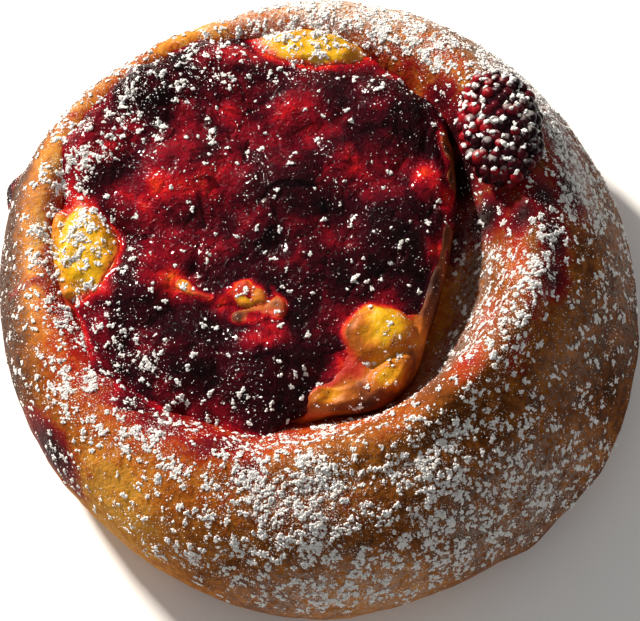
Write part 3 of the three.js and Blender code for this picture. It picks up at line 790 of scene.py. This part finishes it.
sugar = dict(
    bun=[  # share of the crust that is covered: place, half length, half width, turn, strength
        (5 + 53j, 50, 17, 0, 0.9), (36 + 44j, 28, 17, -45, 0.74), (22 + 45j, 18, 9, -38, 0.65),
        (47 + 20j, 24, 10, 105, 0.62), (52 + 5j, 40, 20, 90, 0.2), (34 - 8j, 34, 11, 64, 0.56),
        (34 + 2j, 11, 6, 98, 0.66), (2 - 43j, 54, 26, 10, 0.57), (36 - 40j, 36, 24, 40, 0.42),
        (2 - 57j, 52, 12, 6, 0.5), (-34 - 28j, 34, 11, -41, 0.72), (-26 - 35j, 18, 8, -25, 0.62),
        (-46 - 9j, 14, 7, -72, 0.62), (-48 + 10j, 34, 9, 85, 0.6), (-43 + 38j, 26, 10, 45, 0.75)],
    compote=[
        (-40 + 31j, 26, 12, 50, 0.33), (-45 + 20j, 18, 6, 75, 0.55), (-36 + 34j, 4, 3, 30, 0.75),
        (-43 + 29j, 4, 2.5, 60, 0.8), (-39 + 24j, 3, 4, 0, 0.6), (-29.5 + 27j, 2, 7, 5, 0.5),
        (-19.7 + 27j, 1.6, 5, 0, 0.55), (-25 + 36j, 3, 4, 0, 0.55), (-12 + 42j, 30, 9, 0, 0.26),
        (14 + 34j, 12, 9, 0, 0.1), (-34 - 17j, 26, 11, -42, 0.24), (-12 - 23j, 20, 9, 8, 0.14),
        (-36 + 6j, 16, 9, 90, 0.16)],
    custard=[(-42.5 + 5j, 18, 11, 97, 0.62), (-2 + 47j, 20, 8, 0, 0.8), (13 - 15j, 12, 14, 0, 0.12)],
    bunLeast=0.09, compoteLeast=0.03, custardLeast=0.05,  # everywhere else
    # it lies where the surface is level, and on the crust unevenly, high up and past the filling, less behind the lip
    bunPatches=(0.45, 11, 101), bunLevel=(0, 0.4), bunHeight=(3, 11), bunEdge=-1.5, bunSheltered=0.5,
    behindLip=(-25, 85, 3.5), fillingLevel=(0.1, 0.5), powderHeight=(5, 14), mostCovered=0.9, sizeSamples=4000,
    powder=[  # dust too fine to see as grains
        (-55 + 4j, 36, 9, 87, 0.07), (6 - 58j, 44, 8, 6, 0.2), (36 - 42j, 30, 12, 42, 0.2),
        (56 + 8j, 34, 6, 92, 0.16), (48 + 22j, 20, 5, 115, 0.45), (8 + 55j, 46, 8, 0, 0.5),
        (38 + 42j, 20, 9, -45, 0.4), (46 - 16j, 22, 8, 62, 0.1), (28 - 1j, 22, 5, 88, 0.17),
        (23 - 14j, 16, 5, 60, 0.17)],
    patches=(1.3, 2.4, 111), seed=8, trianglesPerPiece=195000,
    # flecks of up to so many lumps, few of them large; spread is how many lumps a fleck covers on average, and a small
    # reach lets each lump grow on a late one, which draws the fleck out
    flecks=dict(name="icing_sugar_flecks", slices=5, stacks=2, least=0.1, most=0.3, skew=1.2, share=0.8, uneven=0.45,
                flat=0.6, lumps=26, tail=2.3, step=1.15, climb=0.2, reach=0.45, spread=4.6),
    caps=dict(least=0.26, most=0.48, skew=1.2, flat=0.7, lumps=7, tail=0.8, step=0.75, climb=0.5, reach=1),
    grains=dict(name="icing_sugar_grains", slices=4, stacks=2, least=0.06, most=0.15, skew=1.4, share=0.26, uneven=0.4,
                spread=1, squashLeast=0.7, squashMore=0.6),
    capsPerDrupelet=1, capWay=(-0.25, 0.35, 0.9), capScatter=0.27, capSeed=17,
)


# Sugar on the crust: its spots, made uneven by noise, with less on steep and low crust and beside the filling
def bunCoverage(points, normals):
    plan = planOf(points)
    amount = np.maximum(spotMap(plan, sugar["bun"]), sugar["bunLeast"]) * (1 + noiseSum([sugar["bunPatches"]], points))
    amount = amount * ease(normals[..., 2], *sugar["bunLevel"]) * ease(points[..., 2], *sugar["bunHeight"])
    sheltered = sugar["bunSheltered"] + swellSum([sugar["behindLip"]], sideOf(plan))
    return amount * ease(pastFilling(plan), sugar["bunEdge"], sheltered)


# Sugar on a layer of the filling, where it stands above the other layer
def fillingCoverage(name, otherTop, points, normals):
    plan = planOf(points)
    amount = np.maximum(spotMap(plan, sugar[name]), sugar[name + "Least"])
    return amount * (points[..., 2] > otherTop(plan)) * ease(normals[..., 2], *sugar["fillingLevel"])


# Random places over a stack of rings: faces drawn with chances equal to their area, then a random place inside each
def scatterOver(rings, perMm, rng):
    first, second = rings[:-1], rings[1:]
    corners = [first, second, np.roll(second, -1, 1), np.roll(first, -1, 1)]
    across = np.cross(corners[2] - corners[0], corners[3] - corners[1]).reshape(-1, 3)
    area = 0.5 * np.linalg.norm(across, axis=-1)
    picked = rng.choice(len(area), int(area.sum() * perMm), p=area / area.sum())
    u, v = rng.random((2, len(picked), 1))
    a, b, c, d = (corner.reshape(-1, 3)[picked] for corner in corners)
    places = (1 - u) * (1 - v) * a + u * (1 - v) * b + u * v * c + (1 - u) * v * d
    return places, across[picked] / np.maximum(2 * area[picked, None], tiny)


# Sizes between the least and the most, by a random share raised to a power
def grainSizes(kind, count, rng):
    return kind["least"] + (kind["most"] - kind["least"]) * rng.random(count) ** kind["skew"]


# Random places for one kind of sugar: n grains of mean area a to the square mm leave a share exp(-n a) of a surface
# bare, so n comes from the coverage that is wanted there, drawn into patches by noise
def sugarPlaces(kind, rings, coverage, rng):
    samples = grainSizes(kind, sugar["sizeSamples"], np.random.default_rng(1))
    meanArea = kind["spread"] * np.pi * np.mean(samples**2)
    mostPerMm = -np.log(1 - sugar["mostCovered"] * kind["share"]) / meanArea
    places, normals = scatterOver(rings, mostPerMm, rng)
    patchy = 1 + noiseSum([sugar["patches"]], places)
    wanted = np.clip(coverage(places, normals) * patchy, 0, sugar["mostCovered"])
    keep = rng.random(len(places)) * mostPerMm < -np.log(1 - kind["share"] * wanted) / meanArea
    return places[keep], normals[keep]


# Random turns from unit quaternions, each with its own size and a squash along its three axes
def grainAxes(kind, sizes, rng):
    q = rng.normal(size=(len(sizes), 4))
    w, x, y, z = (q / np.linalg.norm(q, axis=1, keepdims=True)).T
    turn = np.stack([
        1 - 2 * (y * y + z * z), 2 * (x * y - w * z), 2 * (x * z + w * y),
        2 * (x * y + w * z), 1 - 2 * (x * x + z * z), 2 * (y * z - w * x),
        2 * (x * z - w * y), 2 * (y * z + w * x), 1 - 2 * (x * x + y * y)], -1).reshape(-1, 3, 3)
    squash = kind["squashLeast"] + kind["squashMore"] * rng.random((len(sizes), 3))
    return turn * (sizes[:, None] * squash)[:, :, None]


# Flecks grow by branching: each lump lies about its own width from one of the lumps before it, across the surface and a
# little up; its axes are two along the surface, spun by chance, and a shorter one along the normal
def growFlecks(kind, places, normals, rng):
    lumps = 1 + (kind["lumps"] * rng.random(len(places)) ** kind["tail"]).astype(int)
    used = np.arange(kind["lumps"] + 1) < lumps[:, None]
    sizes = grainSizes(kind, used.shape, rng)
    normals = np.repeat(normals[:, None], used.shape[1], 1)
    along = np.cross(normals, rng.normal(size=normals.shape))
    along /= np.maximum(np.linalg.norm(along, axis=-1, keepdims=True), tiny)
    step = kind["step"] * sizes[..., None] * (along + kind["climb"] * rng.random(used.shape + (1,)) * normals)
    grown = np.repeat(places[:, None], used.shape[1], 1)
    for k in range(1, used.shape[1]):
        parent = (k * rng.random(len(places)) ** kind["reach"]).astype(int)
        grown[:, k] = grown[np.arange(len(places)), parent] + step[:, k]
    axes = np.stack([along, np.cross(normals, along), kind["flat"] * normals], 2) * sizes[..., None, None]
    return grown[used], axes[used]


# One kind of sugar as joined copies, in as many pieces as its triangles need
def putSugar(kind, places, axes, material, rng):
    shape = ballShape(kind["slices"], kind["stacks"])
    most = sugar["trianglesPerPiece"] // len(shape[1])
    print(kind["name"], len(places) * len(shape[1]), "triangles")
    for k in range(-(-len(places) // most)):
        part = slice(k * most, (k + 1) * most)
        piece = putCopies(f"{kind['name']}_{k + 1}", shape, axes[part], places[part], kind["uneven"], rng)
        finishPiece(piece, material)


# Flecks of packed sugar lie on each surface and on the berry, and loose grains lie between them
def makeSugar(material, surfaces, drupelets):
    rng = np.random.default_rng(sugar["seed"])
    flecks, grains = sugar["flecks"], sugar["grains"]
    grown = [growFlecks(flecks, *sugarPlaces(flecks, *surface, rng), rng) for surface in surfaces]
    grown.append(growFlecks(sugar["caps"], *drupelets, rng))
    putSugar(flecks, *(np.concatenate(rows) for rows in zip(*grown)), material, rng)
    loose = np.concatenate([sugarPlaces(grains, *surface, rng)[0] for surface in surfaces])
    putSugar(grains, loose, grainAxes(grains, grainSizes(grains, len(loose), rng), rng), material, rng)


# Sugar caught on the berry: a cap on the side of each capped drupelet that faces up and back
def drupeletSites(places, size, rng):
    way = np.array(sugar["capWay"]) + sugar["capScatter"] * rng.normal(size=(len(places), sugar["capsPerDrupelet"], 3))
    way /= np.linalg.norm(way, axis=-1, keepdims=True)
    return (places[:, None] + size[:, None, None] * way).reshape(-1, 3), way.reshape(-1, 3)


# Materials

# Egg-washed brioche crust, oven baked: dull satin, golden to chestnut in soft blotches, freckled, tinted by juice
def crustMaterial():
    material, add, place = newMaterial("egg_washed_brioche_crust")
    bake, flush, stain, veil, powder = (
        add("Attribute", {"attribute_name": name}, output="Fac")
        for name in ("bake", "flush", "stain", "veil", "powder"))
    blotch, freckle, pore, speck = (  # size in mm, detail, roughness; a speck is a single grain of sugar, drawn coarse
        add("TexNoise", None, {"Vector": place, "Scale": scaleFor(size), "Detail": detail, "Roughness": rough})
        for size, detail, rough in ((7, 4, 0.5), (2.2, 4, 0.6), (0.8, 2, 0.5), (0.3, 1, 0.5)))
    tone = add("Math", multiplyAdd, {0: blotch, 1: 0.5, 2: bake})
    tone = add("Math", multiplyAdd, {0: freckle, 1: 1.1, 2: tone})
    tone = add("Math", multiplyAdd, {0: pore, 1: 0.6, 2: tone})
    tone = add("Math", {"operation": "SUBTRACT"}, {0: tone, 1: 1.1})
    # the bake attribute also brings painted shade on the left and right flanks and behind the lip, and painted light
    # low in the hollow and on the crest
    crust = add("ValToRGB", None, {"Fac": tone}, [
        (0, "#c48a34"), (0.22, "#b47228"), (0.47, "#93561c"), (0.75, "#683814"), (1, "#40210c")])
    flushed = add("Math", multiplyAdd, {0: freckle, 1: 1.4, 2: -0.6})
    flushed = add("Math", {"operation": "ADD"}, {0: flush, 1: flushed})
    flushed = add("Math", {"operation": "MULTIPLY", "use_clamp": True}, {0: flushed, 1: flush})
    ruddy = add("ValToRGB", None, {"Fac": flushed}, [(0.1, "#b5601a"), (0.5, "#ad3f12"), (1, "#8c1a0f")])
    color = add("Mix", colorMix, {0: flushed, 6: crust, 7: ruddy}, output=2)
    soaked = add("Math", multiplyAdd, {0: freckle, 1: 1.1, 2: -0.6})
    soaked = add("Math", {"operation": "ADD"}, {0: stain, 1: soaked})
    soaked = add("MapRange", smoothStep, {0: soaked, 1: 0.12, 2: 0.75})
    juice = add("ValToRGB", None, {"Fac": stain}, [
        (0.2, "#96240f"), (0.55, "#7c1016"), (0.85, "#500b14"), (1, "#1e090c")])
    color = add("Mix", colorMix, {0: soaked, 6: color, 7: juice}, output=2)
    speck = add("Math", multiplyAdd, {0: veil, 1: 0.3, 2: speck})
    dusted = add("MapRange", smoothStep, {0: speck, 1: 0.74, 2: 0.9, 3: 0, 4: 0.6})
    gritty = add("MapRange", smoothStep, {0: pore, 1: 0.36, 2: 0.6})
    powder = add("Math", {"operation": "MULTIPLY"}, {0: powder, 1: gritty})
    dusted = add("Math", {"operation": "MAXIMUM"}, {0: dusted, 1: powder})
    color = add("Mix", colorMix, {0: dusted, 6: color, 7: linearColor("#f1ede6")}, output=2)
    rough = add("MapRange", None, {0: stain, 3: 0.55, 4: 0.4})
    rough = add("Math", multiplyAdd, {0: dusted, 1: 0.4, 2: rough})
    relief = add("Math", multiplyAdd, {0: freckle, 1: 1.2, 2: pore})
    relief = add("Math", multiplyAdd, {0: dusted, 1: 0.8, 2: relief})
    bump = add("Bump", None, {"Strength": 0.8, "Distance": 0.3 * mm, "Height": relief})
    shader = add("BsdfPrincipled", None, {
        "Base Color": color, "Roughness": rough, "Normal": bump, "IOR": 1.45, "Specular IOR Level": 0.03})
    add("OutputMaterial", None, {"Surface": shader})
    return material


# Baked vanilla custard, set in the oven: soft, dull sheen, yellow where clean, orange and red where juice ran in
def custardMaterial():
    material, add, place = newMaterial("set_vanilla_custard")
    tint, bleed = (add("Attribute", {"attribute_name": name}, output="Fac") for name in ("tint", "bleed"))
    blotch, grain = (
        add("TexNoise", None, {"Vector": place, "Scale": scaleFor(size), "Detail": detail})
        for size, detail in ((3, 4), (0.7, 2)))
    tone = add("Math", multiplyAdd, {0: blotch, 1: 0.8, 2: tint})
    tone = add("Math", {"operation": "SUBTRACT"}, {0: tone, 1: 0.4})
    color = add("ValToRGB", None, {"Fac": tone}, [
        (0, "#d3a014"), (0.2, "#cb8611"), (0.45, "#b05f14"), (0.7, "#703516"), (1, "#38180d")])
    run = add("Math", multiplyAdd, {0: blotch, 1: 0.9, 2: bleed})
    run = add("MapRange", smoothStep, {0: run, 1: 0.55, 2: 1.3})
    juice = add("ValToRGB", None, {"Fac": bleed}, [
        (0.2, "#bf6418"), (0.55, "#b54016"), (1, "#a82214")])
    color = add("Mix", colorMix, {0: run, 6: color, 7: juice}, output=2)
    seeds = add("TexVoronoi", None, {"Vector": place, "Scale": scaleFor(2.2), "Randomness": 1})
    seeds = add("MapRange", None, {0: seeds, 1: 0.06, 2: 0.1, 3: 0.75, 4: 0})  # vanilla, drawn coarse
    color = add("Mix", colorMix, {0: seeds, 6: color, 7: linearColor("#3a1a0a")}, output=2)
    relief = add("Math", multiplyAdd, {0: blotch, 1: 2, 2: grain})
    bump = add("Bump", None, {"Strength": 0.5, "Distance": 0.3 * mm, "Height": relief})
    rough = add("MapRange", None, {0: grain, 3: 0.3, 4: 0.5})
    rough = add("Math", multiplyAdd, {0: tint, 1: 0.25, 2: rough})
    shader = add("BsdfPrincipled", None, {
        "Base Color": color, "Roughness": rough, "Normal": bump, "IOR": 1.4, "Specular IOR Level": 0.3,
        "Subsurface Weight": 0.2, "Subsurface Radius": (1, 0.5, 0.2), "Subsurface Scale": 1.2 * mm})
    add("OutputMaterial", None, {"Surface": shader})
    return material


# Berries cooked down with sugar: wet jelly, nearly black where deep, crimson to orange-red where thin, sharp glints
def compoteMaterial():
    material, add, place = newMaterial("cooked_berry_jelly")
    flesh = add("Attribute", {"attribute_name": "flesh"}, output="Fac")
    pulp, thread, fibre = (
        add("TexNoise", None, {"Vector": place, "Scale": scaleFor(size), "Detail": detail, "Distortion": twist})
        for size, detail, twist in ((6, 3, 0.4), (1.6, 2, 0.7), (0.7, 1, 0)))
    thread = add("Math", {"operation": "SUBTRACT"}, {0: thread, 1: 0.5})
    thread = add("Math", {"operation": "ABSOLUTE"}, {0: thread})
    thread = add("MapRange", smoothStep, {0: thread, 1: 0, 2: 0.08, 3: 1, 4: 0})
    tone = add("Math", multiplyAdd, {0: pulp, 1: 1.1, 2: -0.45})
    # the attribute read here carries thin jelly over custard and a painted glow where light passes through the fruit
    tone = add("Math", multiplyAdd, {0: flesh, 1: 0.66, 2: tone})
    color = add("ValToRGB", None, {"Fac": tone}, [
        (0, "#150206"), (0.25, "#33030c"), (0.5, "#700817"), (0.68, "#a8121a"), (0.83, "#c83016"),
        (0.93, "#d8661f"), (1, "#d6922e")])
    pitted = add("Math", multiplyAdd, {0: fibre, 1: 0.35, 2: thread})
    bump = add("Bump", None, {"Strength": 1, "Distance": 0.2 * mm, "Height": pitted})
    rough = add("MapRange", None, {0: pulp, 3: 0.06, 4: 0.12})
    shader = add("BsdfPrincipled", None, {
        "Base Color": color, "Roughness": rough, "Normal": bump, "IOR": 1.38, "Specular IOR Level": 0.18,
        "Subsurface Weight": 0.2, "Subsurface Radius": (1, 0.15, 0.1), "Subsurface Scale": 1.5 * mm})
    add("OutputMaterial", None, {"Surface": shader})
    return material


# Bramble drupelet skin, baked: taut, near black with some redder drupelets, capped with sugar
def drupeletMaterial():
    material, add, place = newMaterial("baked_drupelet_skin")
    ripeness, dust = (add("Attribute", {"attribute_name": name}, output="Fac") for name in ("ripeness", "dust"))
    mottle, fluff = (
        add("TexNoise", None, {"Vector": place, "Scale": scaleFor(size), "Detail": 3}) for size in (1.6, 0.6))
    tone = add("Math", {"operation": "MULTIPLY"}, {0: ripeness, 1: 0.7})
    tone = add("Math", multiplyAdd, {0: mottle, 1: 0.5, 2: tone})
    color = add("ValToRGB", None, {"Fac": tone}, [
        (0.2, "#17030a"), (0.55, "#28060f"), (0.8, "#500b16"), (1, "#8c121c")])
    capped = add("Math", multiplyAdd, {0: fluff, 1: 0.9, 2: dust})
    capped = add("MapRange", smoothStep, {0: capped, 1: 1.02, 2: 1.35, 3: 0, 4: 0.25})
    color = add("Mix", colorMix, {0: capped, 6: color, 7: linearColor("#efebe8")}, output=2)
    bump = add("Bump", None, {"Strength": 0.4, "Distance": 0.25 * mm, "Height": mottle})
    rough = add("MapRange", None, {0: mottle, 3: 0.16, 4: 0.32})
    rough = add("Math", multiplyAdd, {0: capped, 1: 0.6, 2: rough})
    shader = add("BsdfPrincipled", None, {
        "Base Color": color, "Roughness": rough, "Normal": bump, "IOR": 1.42, "Specular IOR Level": 0.12})
    add("OutputMaterial", None, {"Surface": shader})
    return material


# Icing sugar, milled and sifted: matte white, faintly creamy in soft patches
def sugarMaterial():
    material, add, place = newMaterial("sifted_icing_sugar")
    clump, fluff = (  # the fluff is the powder itself, drawn coarse
        add("TexNoise", None, {"Vector": place, "Scale": scaleFor(size), "Detail": detail})
        for size, detail in ((1.5, 2), (0.2, 1)))
    color = add("ValToRGB", None, {"Fac": clump}, [(0.3, "#f1ede5"), (0.6, "#fdfcfa")])
    rough = add("MapRange", None, {0: clump, 3: 0.8, 4: 0.95})
    bump = add("Bump", None, {"Strength": 0.6, "Distance": 0.1 * mm, "Height": fluff})
    shader = add("BsdfPrincipled", None, {
        "Base Color": color, "Roughness": rough, "Normal": bump, "IOR": 1.5, "Specular IOR Level": 0.3,
        "Subsurface Weight": 0.7, "Subsurface Radius": (1, 1, 0.95), "Subsurface Scale": 0.3 * mm})
    add("OutputMaterial", None, {"Surface": shader})
    return material


# Matte card under the bun: an even pale sheet, faintly clouded
def floorMaterial():
    material, add, place = newMaterial("matte_white_card")
    cloud = add("TexNoise", None, {"Vector": place, "Scale": scaleFor(60), "Detail": 2})
    color = add("ValToRGB", None, {"Fac": cloud}, [(0.3, "#f8f7f5"), (0.7, "#fcfbfa")])
    shader = add("BsdfPrincipled", None, {"Base Color": color, "Roughness": 0.85})
    add("OutputMaterial", None, {"Surface": shader})
    return material


bunSurface = makeBun(crustMaterial())
custardSurface = makeCustard(custardMaterial())
compoteSurface = makeCompote(compoteMaterial())
onBerry = drupeletSites(*makeBerry(drupeletMaterial()), np.random.default_rng(sugar["capSeed"]))
makeSugar(sugarMaterial(), [
    (bunSurface, bunCoverage),
    (compoteSurface[:compote["steps"] + 1], partial(fillingCoverage, "compote", custardTop)),
    (custardSurface[:custard["steps"] + 1], partial(fillingCoverage, "custard", compoteTop))], onBerry)


# Camera, floor and light

view = dict(elevation=70, distance=400, target=(0.3, -2.7, 14), lens=120.4, sensor=36, nearest=10)


def makeCamera():
    camera = bpy.data.objects.new("camera", bpy.data.cameras.new("camera"))
    lift = np.radians(view["elevation"])
    target = Vector(view["target"]) * mm
    camera.location = target + Vector((0, -np.cos(lift), np.sin(lift))) * view["distance"] * mm
    camera.rotation_euler = (target - camera.location).to_track_quat("-Z", "Y").to_euler()
    camera.data.lens = view["lens"]
    camera.data.sensor_fit = "HORIZONTAL"
    camera.data.sensor_width = view["sensor"]
    camera.data.clip_start = view["nearest"] * mm
    bpy.context.scene.collection.objects.link(camera)
    bpy.context.scene.camera = camera


stage = dict(floorHalf=3000, aim=(0, 0, 20), worldColor="#f5f4f1", worldStrength=0.33)
lights = [  # name, direction in degrees, elevation, distance, size, watts, colour
    ("key", 133, 29, 760, 80, 13, "#fff6ea"),
    ("fill", -60, 55, 900, 700, 0.4, "#f4f6ff"),
]


def makeStage():
    half = stage["floorHalf"]
    corners = np.array([(-half, -half, 0), (half, -half, 0), (half, half, 0), (-half, half, 0)], float)
    floor = putMesh("floor", corners, np.array([[0, 1, 2, 3]]), np.zeros((0, 3), int))
    floor.data.materials.append(floorMaterial())
    world = bpy.data.worlds.new("studio")
    bpy.context.scene.world = world
    world.use_nodes = True
    world.node_tree.nodes["Background"].inputs["Color"].default_value = linearColor(stage["worldColor"])
    world.node_tree.nodes["Background"].inputs["Strength"].default_value = stage["worldStrength"]
    target = Vector(stage["aim"]) * mm
    for name, direction, elevation, distance, size, watts, color in lights:
        lamp = bpy.data.lights.new(name, "AREA")
        lamp.size = size * mm
        lamp.energy = watts
        lamp.color = linearColor(color)[:3]
        holder = bpy.data.objects.new(name, lamp)
        holder.visible_glossy = name == "key"  # the fill leaves no sheen on the jelly
        turn, lift = np.radians(direction), np.radians(elevation)
        way = Vector((np.cos(turn) * np.cos(lift), np.sin(turn) * np.cos(lift), np.sin(lift)))
        holder.location = target + way * distance * mm
        holder.rotation_euler = (-way).to_track_quat("-Z", "Y").to_euler()
        bpy.context.scene.collection.objects.link(holder)


makeCamera()
makeStage()
bpy.context.scene.view_settings.view_transform = "Standard"
print("camera, floor and light set")
